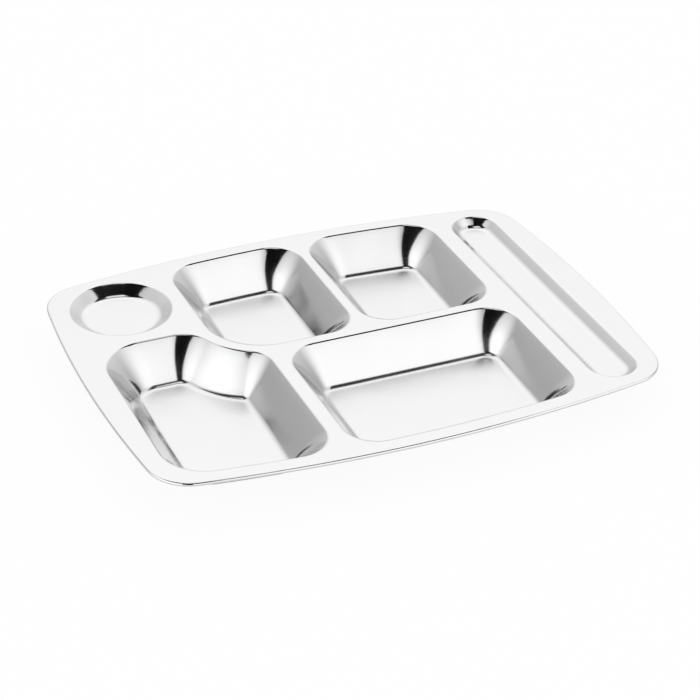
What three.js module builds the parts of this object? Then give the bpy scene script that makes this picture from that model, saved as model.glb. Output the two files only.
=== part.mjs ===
// Six-compartment serving tray pressed from one stainless sheet: a flat deck with a rolled rim,
// four deep pans, a shallow round dish and a shallow cutlery trough.
// Millimetres. +X runs to the tray's right end, +Y to its back edge, and +Z up from the pans' undersides.
import * as THREE from "three";

// Sheet, overall outline and rolled rim
const TRAY_LENGTH = 400;
const TRAY_WIDTH = 300;
const LONG_SIDE_RADIUS = 1065;
const SHORT_SIDE_RADIUS = 970;
const TRAY_CORNER = 32;
const SHEET = 0.6;
const RIM_DIAMETER = 2.8;
const RIM_TURN = 255;

// Sections of the drawn compartments, with wall slopes in degrees from level. The right-hand pans' right
// walls are steeper: the lean is how far they come in, as a share of the other walls.
const PAN_DEPTH = 27;
const PAN_WALL_SLOPE = 52;
const PAN_FLOOR_RADIUS = 4;
const RIGHT_WALL_LEAN = 0.91;
const DISH_DEPTH = 7.6;
const DISH_WALL_SLOPE = 38;
const DISH_FLOOR_RADIUS = 8;
const TROUGH_DEPTH = 7;
const TROUGH_WALL_SLOPE = 45;
const TROUGH_FLOOR_RADIUS = 7;
const LIP_RADIUS = 2.5;

// Borders between the tray's edge and the compartments
const LEFT_BORDER = 18.8;
const RIGHT_BORDER = 21.8;
const BACK_BORDER = 9.8;
const FRONT_BORDER = 11.1;
const DISH_BACK_BORDER = 18.6;
const TROUGH_END_BORDER = 23;

// Lands and dividers between neighbouring compartments
const DISH_LAND = 9;
const TROUGH_LAND = 11.8;
const REAR_DIVIDER = 4.7;
const FRONT_DIVIDER = 8.2;
const CROSS_DIVIDER = 6.2;

// Plan sizes of the compartments
const DISH_DIAMETER = 77.5;
const TROUGH_WIDTH = 40;
const FRONT_LEFT_PAN_LENGTH = 117;
const PAN_CORNER = 25;
const LEFT_END_CORNER = 33;
const STEP_INNER_CORNER = 44;
const STEP_OUTER_CORNER = 24;
const STEP_END_CORNER = 20;
const LEAST_CORNER = 3;

// The share of a pan's wall, from the lip down, over which its corners begin to tighten
const CORNER_HOLD = 0.6;

// Facets
const CORNER_STEPS = 6;
const SIDE_STEPS = 7;
const TRAY_SIDE_STEPS = 12;
const DISH_STEPS = 40;
const BEND_STEPS = 3;
const PAN_WALL_STEPS = 4;
const RIM_STEPS = 6;

// Levels and edges that follow from the sizes above
const DECK_TOP = PAN_DEPTH + SHEET;
const RIM_RADIUS = RIM_DIAMETER / 2;
const DISH_RADIUS = DISH_DIAMETER / 2;
const LEFT_END = -TRAY_LENGTH / 2;
const RIGHT_END = TRAY_LENGTH / 2;
const BACK_EDGE = TRAY_WIDTH / 2;
const FRONT_EDGE = -TRAY_WIDTH / 2;

const DISH_CENTRE = new THREE.Vector2(
  LEFT_END + LEFT_BORDER + DISH_RADIUS,
  BACK_EDGE - DISH_BACK_BORDER - DISH_RADIUS,
);
const TROUGH_RIGHT = RIGHT_END - RIGHT_BORDER;
const TROUGH_LEFT = TROUGH_RIGHT - TROUGH_WIDTH;
const PANS_RIGHT = TROUGH_LEFT - TROUGH_LAND;
const REAR_PANS_LEFT = DISH_CENTRE.x + DISH_RADIUS + DISH_LAND;
const REAR_PAN_LENGTH = (PANS_RIGHT - REAR_PANS_LEFT - REAR_DIVIDER) / 2;
const REAR_PANS_FRONT = CROSS_DIVIDER / 2;
const FRONT_PANS_LEFT = LEFT_END + LEFT_BORDER;
const FRONT_LEFT_PAN_RIGHT = FRONT_PANS_LEFT + FRONT_LEFT_PAN_LENGTH;
const FRONT_LEFT_PAN_BACK = DISH_CENTRE.y - DISH_RADIUS - DISH_LAND;

// Sides of an outline. A straight side lies at a reach along its outward normal. A bowed side is a circle
// with the outline inside it, and a hollow side is a circle with the outline outside it.
const straight = (x, y, reach, lean = 1) => ({ normal: new THREE.Vector2(x, y), reach, lean });
const rightSide = (x, lean) => straight(1, 0, x, lean);
const leftSide = (x) => straight(-1, 0, -x);
const backSide = (y) => straight(0, 1, y);
const frontSide = (y) => straight(0, -1, -y);
const curved = (x, y, radius, growth) => ({ centre: new THREE.Vector2(x, y), radius, growth, lean: 1 });
const bowed = (x, y, radius) => curved(x, y, radius, -1);
const hollow = (x, y, radius) => curved(x, y, radius, 1);

function movedIn(side, distance) {
  if (side.normal) return { ...side, reach: side.reach - distance };
  return { ...side, radius: side.radius + side.growth * distance };
}

// The straight line through the two points where two circles cross.
function commonChord(a, b) {
  const between = b.centre.clone().sub(a.centre);
  const distance = between.length();
  const powers = a.radius ** 2 - b.radius ** 2 + b.centre.lengthSq() - a.centre.lengthSq();
  return { normal: between.divideScalar(distance), reach: powers / (2 * distance) };
}

// Where two sides cross. Of two such points it is the one that lies further towards the given direction.
function crossing(a, b, towards) {
  if (a.normal && b.normal) {
    const turn = a.normal.cross(b.normal);
    const x = (a.reach * b.normal.y - b.reach * a.normal.y) / turn;
    const y = (b.reach * a.normal.x - a.reach * b.normal.x) / turn;
    return new THREE.Vector2(x, y);
  }
  const circle = a.normal ? b : a;
  const other = a.normal ? a : b;
  const chord = other.normal ? other : commonChord(circle, other);
  const gap = chord.reach - chord.normal.dot(circle.centre);
  const halfChord = Math.sqrt(circle.radius ** 2 - gap ** 2);
  const along = new THREE.Vector2(-chord.normal.y, chord.normal.x);
  const way = along.dot(towards) < 0 ? -1 : 1;
  const middle = circle.centre.clone().addScaledVector(chord.normal, gap);
  return middle.addScaledVector(along, way * halfChord);
}

// The direction from a point inside an outline straight out to one of its sides.
function outwards(side, point) {
  if (side.normal) return side.normal.clone();
  return point.clone().sub(side.centre).multiplyScalar(-side.growth).normalize();
}

function pointAt(centre, radius, angle) {
  return new THREE.Vector2(centre.x + radius * Math.cos(angle), centre.y + radius * Math.sin(angle));
}

// A corner's radius at an inset. Corners are concentric, but a pan's keep their radius under the lip and then
// tighten towards the floor, down to the least that the sheet is drawn to.
function cornerRadius(radius, inset, floorInset) {
  if (!floorInset) return radius - inset;
  const share = inset / floorInset;
  const eased = share < CORNER_HOLD ? share ** 2 / (2 * CORNER_HOLD) : share - CORNER_HOLD / 2;
  return Math.max(radius - floorInset * eased, LEAST_CORNER);
}

// A closed outline moved inwards by inset, as points that run anticlockwise. Corner i rounds the meeting of
// side i and the next side.
function outlinePoints(shape, inset, floorInset = 0) {
  const sides = shape.sides.map((side) => movedIn(side, inset * side.lean));
  const nextOf = (i) => (i + 1) % sides.length;
  const corners = shape.corners.map((corner, i) => {
    const radius = cornerRadius(corner.radius, inset, floorInset);
    const from = movedIn(sides[i], radius);
    const to = movedIn(sides[nextOf(i)], radius);
    const centre = crossing(from, to, corner.towards);
    const start = outwards(from, centre).angle();
    const end = outwards(to, centre).angle();
    return { centre, radius, start, sweep: THREE.MathUtils.euclideanModulo(end - start, 2 * Math.PI) };
  });
  const points = [];
  corners.forEach((corner, i) => {
    for (let step = 0; step <= CORNER_STEPS; step++) {
      const angle = corner.start + (corner.sweep * step) / CORNER_STEPS;
      points.push(pointAt(corner.centre, corner.radius, angle));
    }
    const side = sides[nextOf(i)];
    if (side.normal) return;
    const next = corners[nextOf(i)];
    const first = points[points.length - 1].clone().sub(side.centre).angle();
    const last = pointAt(next.centre, next.radius, next.start).sub(side.centre).angle();
    const turn = THREE.MathUtils.euclideanModulo(last - first + Math.PI, 2 * Math.PI) - Math.PI;
    for (let step = 1; step < shape.sideSteps; step++) {
      points.push(pointAt(side.centre, side.radius, first + (turn * step) / shape.sideSteps));
    }
  });
  return points;
}

// A four-sided shape with its corners in the order back right, back left, front left, front right.
function fourSided(right, back, left, front, radii, sideSteps = SIDE_STEPS) {
  const ways = [[1, 1], [-1, 1], [-1, -1], [1, -1]];
  const corners = ways.map(([x, y], i) => ({ radius: radii[i], towards: new THREE.Vector2(x, y) }));
  return { sides: [right, back, left, front], corners, sideSteps };
}

const sameCorners = (radius) => [radius, radius, radius, radius];

// The tray's outer edge: four bowed sides with round corners.
const trayRight = bowed(RIGHT_END - SHORT_SIDE_RADIUS, 0, SHORT_SIDE_RADIUS);
const trayBack = bowed(0, BACK_EDGE - LONG_SIDE_RADIUS, LONG_SIDE_RADIUS);
const trayLeft = bowed(LEFT_END + SHORT_SIDE_RADIUS, 0, SHORT_SIDE_RADIUS);
const trayFront = bowed(0, FRONT_EDGE + LONG_SIDE_RADIUS, LONG_SIDE_RADIUS);
const trayShape = fourSided(
  trayRight, trayBack, trayLeft, trayFront, sameCorners(TRAY_CORNER), TRAY_SIDE_STEPS,
);

// The compartments' outlines on the deck. Sides next to the tray's long edges run parallel to its bow.
const pansBack = movedIn(trayBack, BACK_BORDER);
const pansFront = movedIn(trayFront, FRONT_BORDER);
const pansRight = rightSide(PANS_RIGHT, RIGHT_WALL_LEAN);
const rearLeftShape = fourSided(
  rightSide(REAR_PANS_LEFT + REAR_PAN_LENGTH), pansBack, leftSide(REAR_PANS_LEFT), frontSide(REAR_PANS_FRONT),
  [PAN_CORNER, PAN_CORNER, STEP_INNER_CORNER, PAN_CORNER],
);
const rearRightShape = fourSided(
  pansRight, pansBack, leftSide(PANS_RIGHT - REAR_PAN_LENGTH), frontSide(REAR_PANS_FRONT),
  sameCorners(PAN_CORNER),
);
const frontRightShape = fourSided(
  pansRight, backSide(REAR_PANS_FRONT - CROSS_DIVIDER),
  leftSide(FRONT_LEFT_PAN_RIGHT + FRONT_DIVIDER), pansFront,
  sameCorners(PAN_CORNER),
);
const troughShape = fourSided(
  rightSide(TROUGH_RIGHT), backSide(BACK_EDGE - TROUGH_END_BORDER),
  leftSide(TROUGH_LEFT), frontSide(FRONT_EDGE + TROUGH_END_BORDER),
  sameCorners(TROUGH_WIDTH / 2),
);

// The front left pan steps forward round the rear left pan's wide corner, one divider away from it.
const stepSide = hollow(
  REAR_PANS_LEFT + STEP_INNER_CORNER,
  REAR_PANS_FRONT + STEP_INNER_CORNER,
  STEP_INNER_CORNER + CROSS_DIVIDER,
);
const frontLeftShape = {
  sides: [
    rightSide(FRONT_LEFT_PAN_RIGHT), stepSide, backSide(FRONT_LEFT_PAN_BACK),
    leftSide(FRONT_PANS_LEFT), pansFront,
  ],
  corners: [
    { radius: STEP_END_CORNER, towards: new THREE.Vector2(0, -1) },
    { radius: STEP_OUTER_CORNER, towards: new THREE.Vector2(-1, 0) },
    { radius: LEFT_END_CORNER, towards: new THREE.Vector2(-1, 1) },
    { radius: LEFT_END_CORNER, towards: new THREE.Vector2(-1, -1) },
    { radius: PAN_CORNER, towards: new THREE.Vector2(1, -1) },
  ],
  sideSteps: SIDE_STEPS,
};

function dishPoints(inset) {
  const angleOf = (step) => (2 * Math.PI * step) / DISH_STEPS;
  return Array.from({ length: DISH_STEPS }, (_, step) => {
    return pointAt(DISH_CENTRE, DISH_RADIUS - inset, angleOf(step));
  });
}

// The section of a compartment's sheet: its depth, its wall's angle, its floor's radius, the flat rows that
// its wall is made of, and how far in the level floor starts.
function drawnSection(depth, slope, floorRadius, wallSteps = 1) {
  const wallAngle = THREE.MathUtils.degToRad(slope);
  const bends = (LIP_RADIUS + floorRadius) * Math.tan(wallAngle / 2);
  return { depth, wallAngle, floorRadius, wallSteps, floorInset: depth / Math.tan(wallAngle) + bends };
}

const panSection = drawnSection(PAN_DEPTH, PAN_WALL_SLOPE, PAN_FLOOR_RADIUS, PAN_WALL_STEPS);
const panRing = (shape) => (inset) => outlinePoints(shape, inset, panSection.floorInset);
const dishSection = drawnSection(DISH_DEPTH, DISH_WALL_SLOPE, DISH_FLOOR_RADIUS);
const troughSection = drawnSection(TROUGH_DEPTH, TROUGH_WALL_SLOPE, TROUGH_FLOOR_RADIUS);
const troughRing = (inset) => outlinePoints(troughShape, inset);
const compartments = [
  { name: "round_dish", ring: dishPoints, section: dishSection },
  { name: "rear_left_pan", ring: panRing(rearLeftShape), section: panSection },
  { name: "rear_right_pan", ring: panRing(rearRightShape), section: panSection },
  { name: "front_left_pan", ring: panRing(frontLeftShape), section: panSection },
  { name: "front_right_pan", ring: panRing(frontRightShape), section: panSection },
  { name: "cutlery_trough", ring: troughRing, section: troughSection },
];

// One face of the sheet in a compartment, as inset and height pairs from the deck round the lip, down the
// sloped wall and onto the floor. It lies a given distance under the sheet's upper face.
function sheetFace({ depth, wallAngle, floorRadius, wallSteps, floorInset }, under) {
  const lipRadius = LIP_RADIUS - under;
  const filletRadius = floorRadius + under;
  const turns = Array.from({ length: BEND_STEPS + 1 }, (_, step) => (wallAngle * step) / BEND_STEPS);
  const lip = turns.map((turn) => ({
    inset: lipRadius * Math.sin(turn),
    height: DECK_TOP - LIP_RADIUS + lipRadius * Math.cos(turn),
  }));
  const fillet = turns.reverse().map((turn) => ({
    inset: floorInset - filletRadius * Math.sin(turn),
    height: DECK_TOP - depth + floorRadius - filletRadius * Math.cos(turn),
  }));
  const wall = [];
  for (let step = 1; step < wallSteps; step++) {
    const lerp = (from, to) => THREE.MathUtils.lerp(from, to, step / wallSteps);
    const [top, foot] = [lip.at(-1), fillet[0]];
    wall.push({ inset: lerp(top.inset, foot.inset), height: lerp(top.height, foot.height) });
  }
  return [...lip, ...wall, ...fillet];
}

// One face of the sheet in the rolled rim, from the deck over the outer edge and round under it.
function rimFace(under) {
  const radius = RIM_RADIUS - under;
  const wholeTurn = THREE.MathUtils.degToRad(RIM_TURN);
  return Array.from({ length: RIM_STEPS + 1 }, (_, step) => {
    const turn = (wholeTurn * step) / RIM_STEPS;
    return {
      inset: RIM_RADIUS - radius * Math.sin(turn),
      height: DECK_TOP - RIM_RADIUS + radius * Math.cos(turn),
    };
  });
}

// A closed body through rings of points, the last joined to the first. With a floor, the ring at floorAt
// and the one after it are each filled across instead of joined.
function loft(ring, section, floorAt = -1) {
  const rings = section.map(({ inset }) => ring(inset));
  const count = rings[0].length;
  const positions = [];
  rings.forEach((points, i) => points.forEach(({ x, y }) => positions.push(x, y, section[i].height)));
  const faces = [];
  rings.forEach((_, i) => {
    const here = i * count;
    const there = ((i + 1) % rings.length) * count;
    if (i === floorAt) {
      THREE.ShapeUtils.triangulateShape(rings[i], []).forEach(([a, b, c]) => {
        faces.push(here + a, here + b, here + c, there + a, there + c, there + b);
      });
      return;
    }
    for (let j = 0; j < count; j++) {
      const k = (j + 1) % count;
      faces.push(here + j, here + k, there + k, here + j, there + k, there + j);
    }
  });
  const geometry = new THREE.BufferGeometry();
  geometry.setAttribute("position", new THREE.Float32BufferAttribute(positions, 3));
  geometry.setIndex(faces);
  geometry.computeVertexNormals();
  return geometry;
}

function compartmentGeometry({ ring, section }) {
  const upper = sheetFace(section, 0);
  const lower = sheetFace(section, SHEET).reverse();
  return loft(ring, [...upper, ...lower], upper.length - 1);
}

function rimGeometry() {
  const outer = rimFace(0).reverse();
  const inner = rimFace(SHEET);
  return loft((inset) => outlinePoints(trayShape, inset), [...outer, ...inner]);
}

// The flat web between the rim and the compartments' lips.
function deckGeometry() {
  const web = new THREE.Shape(outlinePoints(trayShape, RIM_RADIUS));
  web.holes = compartments.map(({ ring }) => new THREE.Path(ring(0)));
  const geometry = new THREE.ExtrudeGeometry(web, { depth: SHEET, bevelEnabled: false });
  return geometry.translate(0, 0, DECK_TOP - SHEET);
}

const satinSteel = () => new THREE.MeshStandardMaterial({ color: 0xdfdfe0, roughness: 0.16, metalness: 1 });

const tray = new THREE.Group();
function addPiece(name, geometry) {
  const mesh = new THREE.Mesh(geometry, satinSteel());
  mesh.name = name;
  tray.add(mesh);
}

addPiece("deck_web", deckGeometry());
addPiece("rolled_rim", rimGeometry());
compartments.forEach((compartment) => addPiece(compartment.name, compartmentGeometry(compartment)));

export default tray;
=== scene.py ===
"""A six-compartment stainless serving tray, pressed from one sheet, on a white studio floor."""

import cmath
import math

import bmesh
import bpy
from mathutils import Matrix, Vector


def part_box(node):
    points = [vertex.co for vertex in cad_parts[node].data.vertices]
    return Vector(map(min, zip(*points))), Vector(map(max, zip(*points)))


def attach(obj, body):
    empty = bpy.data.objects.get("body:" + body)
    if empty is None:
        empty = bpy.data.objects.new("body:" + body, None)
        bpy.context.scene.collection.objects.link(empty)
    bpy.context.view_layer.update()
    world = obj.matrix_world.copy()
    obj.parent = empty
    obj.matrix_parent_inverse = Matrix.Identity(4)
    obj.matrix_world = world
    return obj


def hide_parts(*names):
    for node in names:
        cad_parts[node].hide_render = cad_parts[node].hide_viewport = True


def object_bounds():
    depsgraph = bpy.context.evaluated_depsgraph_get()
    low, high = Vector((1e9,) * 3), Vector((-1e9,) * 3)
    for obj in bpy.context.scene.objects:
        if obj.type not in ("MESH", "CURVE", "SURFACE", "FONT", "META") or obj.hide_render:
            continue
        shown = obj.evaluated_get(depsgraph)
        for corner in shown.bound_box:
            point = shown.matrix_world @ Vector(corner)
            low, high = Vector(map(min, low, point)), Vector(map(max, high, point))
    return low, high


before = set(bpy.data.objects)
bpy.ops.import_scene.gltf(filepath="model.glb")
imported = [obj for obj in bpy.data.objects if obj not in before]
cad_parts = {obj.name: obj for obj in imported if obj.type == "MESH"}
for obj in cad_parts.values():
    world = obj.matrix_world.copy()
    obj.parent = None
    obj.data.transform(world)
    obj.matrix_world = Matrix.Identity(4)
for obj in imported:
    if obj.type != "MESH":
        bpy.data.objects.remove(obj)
cad_low, cad_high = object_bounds()

# Sheet, rim and levels, read from the solids, and how far the rim is rolled
deck_low, deck_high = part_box("deck_web")
rim_low, rim_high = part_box("rolled_rim")
DECK_TOP = deck_high.z
SHEET = deck_high.z - deck_low.z
RIM_RADIUS = (rim_high.z - rim_low.z) / 2
RIM_TURN = math.radians(255)

# Outline of the tray, and the borders between it and the pans
LONG_SIDE_RADIUS = 1.065
SHORT_SIDE_RADIUS = 0.970
TRAY_CORNER = 0.032
BACK_BORDER = 0.0098
FRONT_BORDER = 0.0111

# Corners of the pans' outlines, and how they tighten towards the floor
PAN_CORNER = 0.025
LEFT_END_CORNER = 0.033
STEP_INNER_CORNER = 0.044
STEP_OUTER_CORNER = 0.024
STEP_END_CORNER = 0.020
LEAST_CORNER = 0.003
CORNER_HOLD = 0.6

# Sections of the compartments, with wall slopes from level
LIP_RADIUS = 0.0025
WALL_BOW = math.radians(2.5)
PAN_SLOPE = math.radians(52)
PAN_FLOOR_RADIUS = 0.006
PAN_EASE_RADIUS = 0.017
EASE_SLOPE = math.radians(6)
DISH_SLOPE = math.radians(38)
DISH_FLOOR_RADIUS = 0.008
TROUGH_SLOPE = math.radians(45)
TROUGH_FLOOR_RADIUS = 0.007

# Pan walls that differ: leans are shares of the section's inset, and the turn is in radians a metre of it
BACK_LEAN = 1.08
REAR_RIGHT_LEAN = 0.98
FRONT_LEFT_LEAN = 1.04
FRONT_RIGHT_LEAN = 0.95
RIGHT_TURN = -1.5

# Fineness of the mesh
CORNER_STEPS = 16
BOW_STEPS = 16
TRAY_BOW_STEPS = 40
ROUND_STEPS = 128
BEND_STEPS = 8
EASE_STEPS = 4
WALL_STEPS = 6
RIM_STEPS = 16

# Flat strip at the edge of a region, and the radius of an arc that counts as straight
FLAT_STRIP = 0.0006
STRAIGHT_RADIUS = 50.0

# Colour and roughness of the steel
DARK_STEEL = (0.725, 0.725, 0.73, 1)
LIGHT_STEEL = (0.755, 0.755, 0.76, 1)
SATIN_ROUGHNESS = 0.225
LIP_ROUGHNESS = 0.09
FOOT_ROUGHNESS = 0.16
LIP_DEPTH = 0.004
FOOT_DEPTH = 0.024
CLOUD_ROUGHNESS = 0.02
GRAIN_ROUGHNESS = 0.015
SCRATCH_ROUGHNESS = 0.02
PIT_ROUGHNESS = 0.3

# Sizes of the finish's patterns along the tray, across it and upwards
CLOUD_SIZE = (0.04, 0.04, 0.04)
WAVE_SIZE = (0.05, 0.05, 0.05)
GRAIN_SIZE = (0.03, 0.0005, 0.0005)
DRAW_LINE_SIZE = (0.0012, 0.0012, 0.03)
PIT_SPACING = (0.014, 0.014, 0.014)
LONG_SCRATCH = (0.05, 0.0006, 0.05)
LONG_SCRATCH_TURN = 0.6
SHORT_SCRATCH = (0.04, 0.0006, 0.04)
SHORT_SCRATCH_TURN = -0.9

# Detail of the finish's patterns
CLOUD_DETAIL = 3
LINE_DETAIL = 2
PLAIN_DETAIL = 1

# Depths of the finish's relief
WAVE_DEPTH = 0.0006
DRAW_LINE_DEPTH = 0.000012
GRAIN_DEPTH = 0.000006

# Spans of a value over which its mask comes in or fades
WALL_SPAN = (0.01, 0.12)
NOISE_SPAN = (0.3, 0.7)
SCRATCH_SPAN = (0.70, 0.74)
PIT_CHOICE_SPAN = (0.55, 0.6)
PIT_EDGE_SPAN = (0.012, 0.028)

# Studio floor, cloths and overhead panel
WHITE = (1, 1, 1, 1)
BLACK = (0, 0, 0, 1)
FLOOR_HALF_SIDE = 8
FLOOR_COLOUR = (0.9, 0.9, 0.9, 1)
FLOOR_ROUGHNESS = 0.8
FLOOR_GLOW = 0.93
MIRRORED_GLOW = 0.1
CLOTH_COLOUR = (0.004, 0.004, 0.004, 1)
CLOTH_ROUGHNESS = 0.9
PANEL_GLOW = 1
CEILING_CLOTH = (Vector((-1.10, -0.84, 1.76)), Vector((1.00, 0.64, 1.77)))
CAMERA_CLOTH = (Vector((-1.10, -2.10, 1.76)), Vector((0.04, -0.84, 1.77)))
STANDING_CLOTH = (Vector((-0.90, -1.06, 0.0)), Vector((-0.40, -1.05, 0.88)))
OVERHEAD_LIGHT = (Vector((-0.36, -0.17, 1.70)), Vector((0.40, 0.36, 1.71)))

# Light of the room, and soft lights in it
ROOM_LIGHT = 0.38
# Azimuth, elevation, and half widths where a light has faded and where it is full, in degrees, and strength
SOFT_LIGHTS = (
    (-116, -4, 76, 38, 1.16),
    (26, 46, 78, 8, 0.89),
    (146, 17, 60, 22, 0.96),
    (-45, 48, 42, 6, 0.14),
)

# Camera, fitted to the photograph
CAMERA_AZIMUTH = math.radians(-24.941)
CAMERA_ELEVATION = math.radians(31.914)
CAMERA_ROLL = math.radians(1.687)
CAMERA_DISTANCE = 1.5643
CAMERA_TARGET = Vector((-0.00894, -0.02297, DECK_TOP))
IMAGE_SIDE = 700
FOCAL_PIXELS = 2175.8
SENSOR_WIDTH = 36.0


class Side:
    """A side of an outline: an arc about a centre, with the outline within it, or outside it if hollow.

    A wall that is steeper or flatter than the section moves in by its lean times the inset. A wall that
    winds turns about its pivot as well, by an angle for each metre of inset.
    """

    def __init__(self, centre, radius, steps, hollow=False, lean=1.0, turn=0.0, pivot=0j):
        self.centre = centre
        self.radius = radius
        self.steps = steps
        self.hollow = hollow
        self.lean = lean
        self.turn = turn
        self.pivot = pivot

    def moved_in(self, distance):
        change = distance if self.hollow else -distance
        return Side(self.centre, self.radius + change, self.steps, self.hollow)

    def pressed_in(self, inset):
        """This side on the row of the wall at an inset."""
        winding = cmath.rect(1, self.turn * inset)
        centre = self.pivot + (self.centre - self.pivot) * winding
        return Side(centre, self.radius, self.steps, self.hollow).moved_in(inset * self.lean)

    def outwards(self, point):
        """The direction, as an angle, from a point straight out to this side."""
        away = self.centre - point if self.hollow else point - self.centre
        return cmath.phase(away)


def bowed(place, outward, radius, steps, **wall):
    """A side that bows outwards, as an arc with its middle at a place."""
    return Side(place - outward * radius, radius, steps, **wall)


def straight(place, outward, lean=1.0, turn=0.0):
    """A straight side through a place, as an arc so wide that it is flat."""
    return bowed(place, outward, STRAIGHT_RADIUS, 1, lean=lean, turn=turn, pivot=place)


def right_side(low, high, lean=1.0):
    """A pan's right side, from its box, whose wall winds about its middle."""
    return straight(complex(high.x, (low.y + high.y) / 2), 1, lean, RIGHT_TURN)


def left_side(low, high):
    """A pan's left side, from its box."""
    return straight(complex(low.x, (low.y + high.y) / 2), -1)


def back_side(y):
    return straight(complex(0, y), 1j, BACK_LEAN)


def front_side(y):
    return straight(complex(0, y), -1j)


def bowed_back():
    """The rear pans' back side, parallel to the tray's bowed back edge."""
    middle = complex(0, cad_high.y - BACK_BORDER)
    return bowed(middle, 1j, LONG_SIDE_RADIUS - BACK_BORDER, BOW_STEPS, lean=BACK_LEAN)


def bowed_front():
    """The front pans' front side, parallel to the tray's bowed front edge."""
    middle = complex(0, cad_low.y + FRONT_BORDER)
    return bowed(middle, -1j, LONG_SIDE_RADIUS - FRONT_BORDER, BOW_STEPS)


def crossing(first, second, towards):
    """The point where two arcs cross, of the two the one further along a direction."""
    gap = second.centre - first.centre
    along = (first.radius**2 - second.radius**2 + abs(gap) ** 2) / (2 * abs(gap))
    across = math.sqrt(first.radius**2 - along**2)
    unit = gap / abs(gap)
    found = [first.centre + unit * complex(along, way * across) for way in (1, -1)]
    return max(found, key=lambda point: (point * towards.conjugate()).real)


def vertex(bm, place, height):
    return bm.verts.new((place.real, place.imag, height))


def turned(bm, vert, centre, angle, steps):
    """Draw an arc by turning a vertex about a centre, and give the vertex at its end."""
    drawn = bmesh.ops.spin(
        bm,
        geom=[vert],
        cent=(centre.real, centre.imag, vert.co.z),
        axis=(0, 0, 1),
        angle=angle,
        steps=steps,
    )
    return next(item for item in drawn["geom_last"] if isinstance(item, bmesh.types.BMVert))


class Outline:
    """A closed outline of sides, anticlockwise, with a round corner after each.

    A corner is a radius, and a direction that tells which crossing of its two sides is rounded.
    """

    def __init__(self, sides, corners, floor_inset=0.0):
        self.sides = sides
        self.corners = corners
        self.floor_inset = floor_inset

    def corner_radius(self, radius, inset):
        """Corners keep their radius under the lip, then tighten steadily towards the floor."""
        if inset <= 0 or not self.floor_inset:
            return radius - inset
        share = inset / self.floor_inset
        eased = share**2 / (2 * CORNER_HOLD) if share < CORNER_HOLD else share - CORNER_HOLD / 2
        return max(radius - self.floor_inset * eased, LEAST_CORNER)

    def ring(self, bm, inset, height):
        """The outline moved in by an inset, as a closed loop of edges at a height."""
        sides = [side.pressed_in(inset) for side in self.sides]
        first_edge = len(bm.edges)
        starts = []
        ends = []
        for side, after, (full_radius, towards) in zip(sides, sides[1:] + sides[:1], self.corners):
            radius = self.corner_radius(full_radius, inset)
            inner_side = side.moved_in(radius)
            inner_after = after.moved_in(radius)
            centre = crossing(inner_side, inner_after, towards)
            start = inner_side.outwards(centre)
            sweep = (inner_after.outwards(centre) - start) % (2 * math.pi)
            starts.append(vertex(bm, centre + cmath.rect(radius, start), height))
            ends.append(turned(bm, starts[-1], centre, sweep, CORNER_STEPS))
        for side, last, start in zip(sides, ends[-1:] + ends[:-1], starts):
            if side.steps > 1:
                spoke = complex(*last.co.xy) - side.centre
                sweep = cmath.phase((complex(*start.co.xy) - side.centre) / spoke)
                last = turned(bm, last, side.centre, sweep * (1 - 1 / side.steps), side.steps - 1)
            bm.edges.new((last, start))
        bm.edges.ensure_lookup_table()
        return bm.edges[first_edge:]


class RoundOutline:
    """A circle, or two half circles moved apart from front to back, with rings as an outline has."""

    def __init__(self, centre, radius, half_stretch=0.0):
        self.centre = centre
        self.radius = radius
        self.half_stretch = half_stretch

    def ring(self, bm, inset, height):
        place = Matrix.Translation((self.centre.real, self.centre.imag, height))
        half_step = Matrix.Rotation(math.pi / ROUND_STEPS, 4, "Z")
        made = bmesh.ops.create_circle(
            bm,
            cap_ends=False,
            segments=ROUND_STEPS,
            radius=self.radius - inset,
            matrix=place @ half_step,
        )
        for vert in made["verts"]:
            vert.co.y += math.copysign(self.half_stretch, vert.co.y - self.centre.imag)
        return list({edge for vert in made["verts"] for edge in vert.link_edges})


def four_sided(right, back, left, front, radii, floor_inset=0.0):
    """An outline with corners in the order back right, back left, front left, front right."""
    ways = (1 + 1j, -1 + 1j, -1 - 1j, 1 - 1j)
    return Outline([right, back, left, front], list(zip(radii, ways)), floor_inset)


def tray_outline():
    return four_sided(
        bowed(complex(cad_high.x, 0), 1, SHORT_SIDE_RADIUS, TRAY_BOW_STEPS),
        bowed(complex(0, cad_high.y), 1j, LONG_SIDE_RADIUS, TRAY_BOW_STEPS),
        bowed(complex(cad_low.x, 0), -1, SHORT_SIDE_RADIUS, TRAY_BOW_STEPS),
        bowed(complex(0, cad_low.y), -1j, LONG_SIDE_RADIUS, TRAY_BOW_STEPS),
        [TRAY_CORNER] * 4,
    )


def rear_left_outline(floor_inset):
    low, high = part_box("rear_left_pan")
    return four_sided(
        right_side(low, high),
        bowed_back(),
        left_side(low, high),
        front_side(low.y),
        [PAN_CORNER, PAN_CORNER, STEP_INNER_CORNER, PAN_CORNER],
        floor_inset,
    )


def rear_right_outline(floor_inset):
    low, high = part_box("rear_right_pan")
    return four_sided(
        right_side(low, high, REAR_RIGHT_LEAN),
        bowed_back(),
        left_side(low, high),
        front_side(low.y),
        [PAN_CORNER] * 4,
        floor_inset,
    )


def front_right_outline(floor_inset):
    low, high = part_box("front_right_pan")
    return four_sided(
        right_side(low, high, FRONT_RIGHT_LEAN),
        back_side(high.y),
        left_side(low, high),
        bowed_front(),
        [PAN_CORNER] * 4,
        floor_inset,
    )


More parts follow.
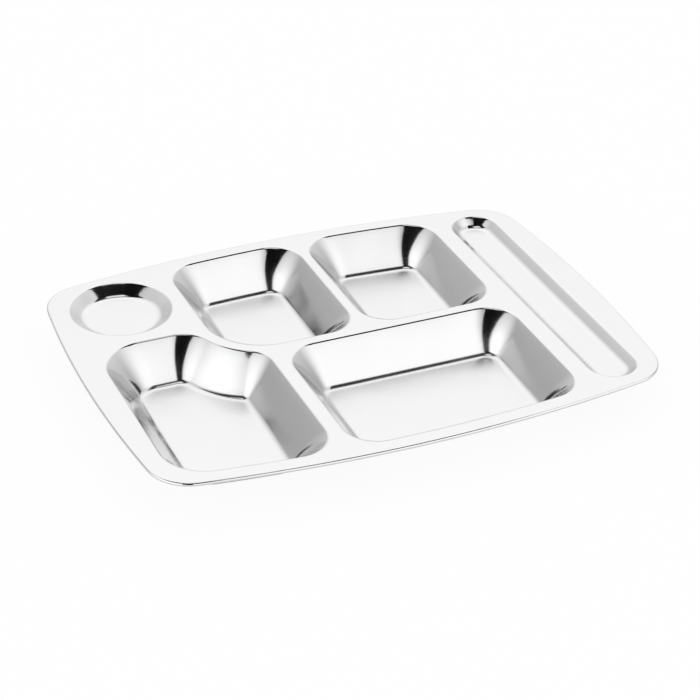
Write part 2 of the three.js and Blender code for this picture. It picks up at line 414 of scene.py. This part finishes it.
def front_left_outline(floor_inset):
    """The front left pan steps forward round the rear left pan's wide corner, one divider away from it."""
    low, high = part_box("front_left_pan")
    behind_low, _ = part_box("rear_left_pan")
    _, beside_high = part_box("front_right_pan")
    divider = behind_low.y - beside_high.y
    step_centre = complex(behind_low.x + STEP_INNER_CORNER, behind_low.y + STEP_INNER_CORNER)
    sides = [
        right_side(low, high, FRONT_LEFT_LEAN),
        Side(step_centre, STEP_INNER_CORNER + divider, BOW_STEPS, hollow=True, lean=BACK_LEAN),
        back_side(high.y),
        left_side(low, high),
        bowed_front(),
    ]
    corners = [
        (STEP_END_CORNER, -1j),
        (STEP_OUTER_CORNER, -1 + 0j),
        (LEFT_END_CORNER, -1 + 1j),
        (LEFT_END_CORNER, -1 - 1j),
        (PAN_CORNER, 1 - 1j),
    ]
    return Outline(sides, corners, floor_inset)


def round_outline(node):
    """A round compartment, or one with half round ends, as its box shows."""
    low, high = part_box(node)
    middle = (low + high) / 2
    radius = (high.x - low.x) / 2
    return RoundOutline(complex(middle.x, middle.y), radius, (high.y - low.y) / 2 - radius)


def bend_across(radius, first, last):
    """How far in the sheet goes as it bends from one slope to another."""
    return radius * abs(math.sin(last) - math.sin(first))


def bend_down(radius, first, last):
    """How far down the sheet goes as it bends from one slope to another."""
    return radius * abs(math.cos(last) - math.cos(first))


class Section:
    """How a compartment's sheet runs from the deck round the lip, down the wall and onto the floor.

    The wall bows a little into the compartment, so it is steepest at its foot. The bend into the floor
    has one radius off the wall, and in the pans a wider one in the last of it, where it eases out.
    """

    def __init__(self, depth, slope, floor_radius, ease_radius):
        bends = (LIP_RADIUS + floor_radius) * math.tan(slope / 2)
        self.floor_inset = depth / math.tan(slope) + bends
        top = slope - WALL_BOW / 2
        foot = slope + WALL_BOW / 2
        lip = (LIP_RADIUS, 0, top)
        bend = (floor_radius, foot, EASE_SLOPE)
        ease = (ease_radius, EASE_SLOPE, 0)
        wall_drop = depth - bend_down(*lip) - bend_down(*bend) - bend_down(*ease)
        wall = (wall_drop / (math.cos(top) - math.cos(foot)), top, foot)
        self.rows = [(-FLAT_STRIP, 0), (0, 0)]
        self.add_rows(lip, BEND_STEPS)
        self.add_rows(wall, WALL_STEPS)
        self.add_rows(bend, BEND_STEPS)
        self.add_rows(ease, EASE_STEPS)
        self.rows.append((self.rows[-1][0] + FLAT_STRIP, depth))

    def add_rows(self, stretch, steps):
        """Carry the rows on round a stretch of one radius, from one slope to another."""
        radius, first, last = stretch
        inset, drop = self.rows[-1]
        for step in range(1, steps + 1):
            here = first + (last - first) * step / steps
            across = bend_across(radius, first, here)
            down = bend_down(radius, first, here)
            self.rows.append((inset + across, drop + down))


def node_section(node, slope, floor_radius, ease_radius=None):
    low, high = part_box(node)
    return Section(high.z - low.z - SHEET, slope, floor_radius, ease_radius or floor_radius)


def joined_rings(outline, rows):
    """A sheet through an outline's rings, one for each inset and drop below the deck, and the last ring."""
    bm = bmesh.new()
    # Level rings can't be bridged, so they are stacked first and then let down to their heights
    loops = [outline.ring(bm, inset, -number) for number, (inset, _) in enumerate(rows)]
    for upper, lower in zip(loops, loops[1:]):
        bmesh.ops.bridge_loops(bm, edges=upper + lower)
    for vert in bm.verts:
        _, drop = rows[round(-vert.co.z)]
        vert.co.z = DECK_TOP - drop
    return bm, loops[-1]


def press_compartment(outline, section):
    """One compartment with a narrow flat border at deck level, by which it joins the deck."""
    bm, floor_edge = joined_rings(outline, section.rows)
    bmesh.ops.triangle_fill(bm, edges=floor_edge, use_beauty=True, normal=(0, 0, 1))
    return bm


def roll_rim(outline):
    """The sheet's edge, rolled over and under from a narrow flat border at deck level."""
    rows = [(RIM_RADIUS + FLAT_STRIP, 0)]
    for step in range(RIM_STEPS + 1):
        turn = RIM_TURN * step / RIM_STEPS
        rows.append((RIM_RADIUS * (1 - math.sin(turn)), RIM_RADIUS * (1 - math.cos(turn))))
    bm, _ = joined_rings(outline, rows)
    return bm


def shaped_regions():
    """The rim and the compartments, each as the upper face of its region, by their nodes."""
    pan = node_section("rear_left_pan", PAN_SLOPE, PAN_FLOOR_RADIUS, PAN_EASE_RADIUS)
    dish = node_section("round_dish", DISH_SLOPE, DISH_FLOOR_RADIUS)
    trough = node_section("cutlery_trough", TROUGH_SLOPE, TROUGH_FLOOR_RADIUS)
    return {
        "rolled_rim": roll_rim(tray_outline()),
        "round_dish": press_compartment(round_outline("round_dish"), dish),
        "rear_left_pan": press_compartment(rear_left_outline(pan.floor_inset), pan),
        "rear_right_pan": press_compartment(rear_right_outline(pan.floor_inset), pan),
        "front_left_pan": press_compartment(front_left_outline(pan.floor_inset), pan),
        "front_right_pan": press_compartment(front_right_outline(pan.floor_inset), pan),
        "cutlery_trough": press_compartment(round_outline("cutlery_trough"), trough),
    }


def deck_border(edge):
    """Whether an edge is on the border by which a compartment or the rim joins the deck."""
    return edge.is_boundary and all(abs(vert.co.z - DECK_TOP) < SHEET / 2 for vert in edge.verts)


def pressed_sheet():
    """The whole tray's upper face, its faces numbered by region, and the regions' nodes in that order."""
    regions = shaped_regions()
    mesh = bpy.data.meshes.new("pressed_sheet")
    bm = bmesh.new()
    for number, region in enumerate(regions.values(), start=1):
        for face in region.faces:
            face.material_index = number
        region.to_mesh(mesh)
        region.free()
        bm.from_mesh(mesh)
    bpy.data.meshes.remove(mesh)
    borders = [edge for edge in bm.edges if deck_border(edge)]
    bmesh.ops.triangle_fill(bm, edges=borders, use_beauty=True, normal=(0, 0, 1))
    bmesh.ops.recalc_face_normals(bm, faces=bm.faces)
    # The sheet is open, so its faces may all have come out downwards: its largest face is a level one
    if max(bm.faces, key=lambda face: face.calc_area()).normal.z < 0:
        bmesh.ops.reverse_faces(bm, faces=bm.faces)
    bm.normal_update()
    drawn = bm.verts.layers.float.new("drawn")
    for vert in bm.verts:
        vert[drawn] = 1 - vert.normal.z
    return bm, ("deck_web", *regions)


def linked_object(name, bm):
    """A new object in the scene with a bmesh's shape, which is then freed."""
    mesh = bpy.data.meshes.new(name)
    bm.to_mesh(mesh)
    bm.free()
    made = bpy.data.objects.new(name, mesh)
    bpy.context.scene.collection.objects.link(made)
    return made


def cut_piece(whole, number, name):
    """One region of the sheet as a piece of its own, with its thickness added below."""
    bm = whole.copy()
    others = [face for face in bm.faces if face.material_index != number]
    bmesh.ops.delete(bm, geom=others, context="FACES")
    for face in bm.faces:
        face.material_index = 0
        face.smooth = True
    # The cut edges are sharp, so that the thickness there doesn't tilt the shading of the face
    for edge in bm.edges:
        edge.smooth = not edge.is_boundary
    piece = linked_object(name, bm)
    thickness = piece.modifiers.new("sheet thickness", "SOLIDIFY")
    thickness.thickness = SHEET
    thickness.offset = -1
    thickness.use_even_offset = True
    return piece


def new_material(name):
    """A new material and its main shader."""
    material = bpy.data.materials.new(name)
    material.use_nodes = True
    return material, material.node_tree.nodes["Principled BSDF"]


def add_node(tree, kind, **settings):
    node = tree.nodes.new(kind)
    for name, value in settings.items():
        setattr(node, name, value)
    return node


def stepped(tree, value, span, ends):
    """A value that goes smoothly from one end to the other as its input passes a span."""
    node = add_node(tree, "ShaderNodeMapRange", interpolation_type="SMOOTHSTEP")
    node.inputs["From Min"].default_value, node.inputs["From Max"].default_value = span
    node.inputs["To Min"].default_value, node.inputs["To Max"].default_value = ends
    tree.links.new(value, node.inputs["Value"])
    return node.outputs["Result"]


def combined(tree, operation, *values):
    node = add_node(tree, "ShaderNodeMath", operation=operation)
    for socket, value in zip(node.inputs, values):
        if isinstance(value, (int, float)):
            socket.default_value = value
        else:
            tree.links.new(value, socket)
    return node.outputs["Value"]


def object_pattern(tree, size, turn=0.0):
    """Object coordinates in units of a pattern's size along each axis, turned about the vertical."""
    place = add_node(tree, "ShaderNodeTexCoord")
    mapping = add_node(tree, "ShaderNodeMapping", vector_type="TEXTURE")
    mapping.inputs["Rotation"].default_value = (0, 0, turn)
    mapping.inputs["Scale"].default_value = size
    tree.links.new(place.outputs["Object"], mapping.inputs["Vector"])
    return mapping.outputs["Vector"]


def noise(tree, size, detail, turn=0.0):
    node = add_node(tree, "ShaderNodeTexNoise")
    node.inputs["Scale"].default_value = 1
    node.inputs["Detail"].default_value = detail
    tree.links.new(object_pattern(tree, size, turn), node.inputs["Vector"])
    return node.outputs["Fac"]


def height(tree):
    """How high a point of the tray lies above the pans' undersides."""
    place = add_node(tree, "ShaderNodeTexCoord")
    axes = add_node(tree, "ShaderNodeSeparateXYZ")
    tree.links.new(place.outputs["Object"], axes.inputs["Vector"])
    return axes.outputs["Z"]


def bumped(tree, relief, depth, normal=None):
    node = add_node(tree, "ShaderNodeBump")
    node.inputs["Distance"].default_value = depth
    tree.links.new(relief, node.inputs["Height"])
    if normal:
        tree.links.new(normal, node.inputs["Normal"])
    return node.outputs["Normal"]


def pits(tree):
    """A mask of small pits, far apart."""
    cells = add_node(tree, "ShaderNodeTexVoronoi")
    cells.inputs["Scale"].default_value = 1
    tree.links.new(object_pattern(tree, PIT_SPACING), cells.inputs["Vector"])
    chosen = stepped(tree, cells.outputs["Color"], PIT_CHOICE_SPAN, (0, 1))
    inside = stepped(tree, cells.outputs["Distance"], PIT_EDGE_SPAN, (1, 0))
    return combined(tree, "MULTIPLY", inside, chosen)


def scratches(tree, size, turn):
    """A mask of fine long scratches that lie about one way."""
    return stepped(tree, noise(tree, size, PLAIN_DETAIL, turn), SCRATCH_SPAN, (0, 1))


def steel_roughness(tree, drawn, clouds, grain):
    """Satin on level sheet, burnished on the walls and most of all under the lip, with light wear."""
    levels = (DECK_TOP - FOOT_DEPTH, DECK_TOP - LIP_DEPTH)
    wall = stepped(tree, height(tree), levels, (FOOT_ROUGHNESS, LIP_ROUGHNESS))
    on_wall = stepped(tree, drawn, WALL_SPAN, (0, 1))
    burnish = combined(tree, "SUBTRACT", wall, SATIN_ROUGHNESS)
    roughness = combined(tree, "MULTIPLY_ADD", on_wall, burnish, SATIN_ROUGHNESS)
    for pattern, amount in ((clouds, CLOUD_ROUGHNESS), (grain, GRAIN_ROUGHNESS)):
        uneven = stepped(tree, pattern, NOISE_SPAN, (-amount, amount))
        roughness = combined(tree, "ADD", roughness, uneven)
    long_marks = scratches(tree, LONG_SCRATCH, LONG_SCRATCH_TURN)
    short_marks = scratches(tree, SHORT_SCRATCH, SHORT_SCRATCH_TURN)
    worn = combined(tree, "MAXIMUM", long_marks, short_marks)
    roughness = combined(tree, "MULTIPLY_ADD", worn, SCRATCH_ROUGHNESS, roughness)
    return combined(tree, "MULTIPLY_ADD", pits(tree), PIT_ROUGHNESS, roughness)


def stainless_steel():
    """Stainless sheet with a fine rolled grain, burnished where it was drawn, with a few marks from use."""
    material, shader = new_material("stainless_steel")
    tree = material.node_tree
    shader.inputs["Metallic"].default_value = 1
    drawn = add_node(tree, "ShaderNodeAttribute", attribute_name="drawn").outputs["Fac"]
    clouds = noise(tree, CLOUD_SIZE, CLOUD_DETAIL)
    grain = noise(tree, GRAIN_SIZE, LINE_DETAIL)

    tint = add_node(tree, "ShaderNodeMix", data_type="RGBA")
    tint.inputs["A"].default_value = DARK_STEEL
    tint.inputs["B"].default_value = LIGHT_STEEL
    tree.links.new(clouds, tint.inputs["Factor"])
    tree.links.new(tint.outputs["Result"], shader.inputs["Base Color"])

    tree.links.new(steel_roughness(tree, drawn, clouds, grain), shader.inputs["Roughness"])

    draw_lines = combined(tree, "MULTIPLY", noise(tree, DRAW_LINE_SIZE, LINE_DETAIL), drawn)
    normal = bumped(tree, noise(tree, WAVE_SIZE, PLAIN_DETAIL), WAVE_DEPTH)
    normal = bumped(tree, draw_lines, DRAW_LINE_DEPTH, normal)
    normal = bumped(tree, grain, GRAIN_DEPTH, normal)
    tree.links.new(normal, shader.inputs["Normal"])
    return material


def white_floor():
    """A white that the tray shades a little, and that glows to the camera and, faintly, to the steel."""
    material, shader = new_material("white_floor")
    tree = material.node_tree
    shader.inputs["Base Color"].default_value = FLOOR_COLOUR
    shader.inputs["Roughness"].default_value = FLOOR_ROUGHNESS
    glow = add_node(tree, "ShaderNodeEmission")
    path = add_node(tree, "ShaderNodeLightPath")
    mirrored = combined(tree, "MAXIMUM", path.outputs["Is Glossy Ray"], path.outputs["Is Transmission Ray"])
    share = combined(tree, "MULTIPLY", path.outputs["Is Camera Ray"], FLOOR_GLOW)
    share = combined(tree, "MULTIPLY_ADD", mirrored, MIRRORED_GLOW, share)
    both = add_node(tree, "ShaderNodeMixShader")
    tree.links.new(share, both.inputs[0])
    tree.links.new(shader.outputs[0], both.inputs[1])
    tree.links.new(glow.outputs[0], both.inputs[2])
    tree.links.new(both.outputs[0], tree.nodes["Material Output"].inputs["Surface"])
    return material


def dark_cloth():
    material, shader = new_material("dark_cloth")
    shader.inputs["Base Color"].default_value = CLOTH_COLOUR
    shader.inputs["Roughness"].default_value = CLOTH_ROUGHNESS
    shader.inputs["Specular IOR Level"].default_value = 0
    return material


def soft_panel():
    material, shader = new_material("soft_panel")
    shader.inputs["Base Color"].default_value = BLACK
    shader.inputs["Emission Color"].default_value = WHITE
    shader.inputs["Emission Strength"].default_value = PANEL_GLOW
    return material


def studio_floor():
    """A wide floor at the level of the tray's underside."""
    bm = bmesh.new()
    bmesh.ops.create_grid(bm, x_segments=1, y_segments=1, size=FLOOR_HALF_SIDE)
    floor = linked_object("studio_floor", bm)
    floor.location.z = cad_low.z
    floor.data.materials.append(white_floor())


def studio_panel(name, corners, material):
    """A thin panel between its lowest and highest corners, which is seen only in reflections."""
    low, high = corners
    bm = bmesh.new()
    bmesh.ops.create_cube(bm, size=1)
    panel = linked_object(name, bm)
    panel.location = (low + high) / 2
    panel.scale = high - low
    panel.visible_camera = False
    panel.visible_diffuse = False
    panel.visible_shadow = False
    panel.data.materials.append(material)


def heading(azimuth, elevation):
    """A direction from its azimuth, clockwise from the tray's back, and its elevation, in degrees."""
    azimuth = math.radians(azimuth)
    elevation = math.radians(elevation)
    level = math.cos(elevation)
    return Vector((math.sin(azimuth) * level, math.cos(azimuth) * level, math.sin(elevation)))


def studio_world():
    """Dim light all round, with soft lights left, back and front right, and a faint one back left."""
    world = bpy.data.worlds.new("studio")
    bpy.context.scene.world = world
    world.use_nodes = True
    tree = world.node_tree
    place = add_node(tree, "ShaderNodeTexCoord")
    light = ROOM_LIGHT
    for azimuth, elevation, faded, full, strength in SOFT_LIGHTS:
        towards = add_node(tree, "ShaderNodeVectorMath", operation="DOT_PRODUCT")
        towards.inputs[1].default_value = heading(azimuth, elevation)
        tree.links.new(place.outputs["Generated"], towards.inputs[0])
        away = combined(tree, "ARCCOSINE", towards.outputs["Value"])
        glow = stepped(tree, away, (math.radians(full), math.radians(faded)), (strength, 0))
        light = combined(tree, "ADD", light, glow)
    background = tree.nodes["Background"]
    background.inputs["Color"].default_value = WHITE
    tree.links.new(light, background.inputs["Strength"])


def photograph_camera():
    data = bpy.data.cameras.new("camera")
    data.sensor_fit = "HORIZONTAL"
    data.sensor_width = SENSOR_WIDTH
    data.lens = FOCAL_PIXELS / IMAGE_SIDE * SENSOR_WIDTH
    camera = bpy.data.objects.new("camera", data)
    bpy.context.scene.collection.objects.link(camera)
    back = Vector((
        math.sin(CAMERA_AZIMUTH) * math.cos(CAMERA_ELEVATION),
        -math.cos(CAMERA_AZIMUTH) * math.cos(CAMERA_ELEVATION),
        math.sin(CAMERA_ELEVATION),
    ))
    level = Vector((math.cos(CAMERA_AZIMUTH), math.sin(CAMERA_AZIMUTH), 0))
    right = Matrix.Rotation(CAMERA_ROLL, 3, back) @ level
    axes = Matrix((right, back.cross(right), back)).transposed()
    place = Matrix.Translation(CAMERA_TARGET + back * CAMERA_DISTANCE)
    camera.matrix_world = place @ axes.to_4x4()
    bpy.context.scene.camera = camera


# The tray, one piece for each node
sheet, nodes = pressed_sheet()
steel = stainless_steel()
for number, node in enumerate(nodes):
    piece = cut_piece(sheet, number, node + "_sheet")
    piece.data.materials.append(steel)
    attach(piece, "root")
    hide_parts(node)
sheet.free()

# The studio
studio_floor()
cloth = dark_cloth()
studio_panel("ceiling_cloth", CEILING_CLOTH, cloth)
studio_panel("camera_cloth", CAMERA_CLOTH, cloth)
studio_panel("standing_cloth", STANDING_CLOTH, cloth)
studio_panel("overhead_light", OVERHEAD_LIGHT, soft_panel())
studio_world()
photograph_camera()
bpy.context.scene.view_settings.view_transform = "Standard"
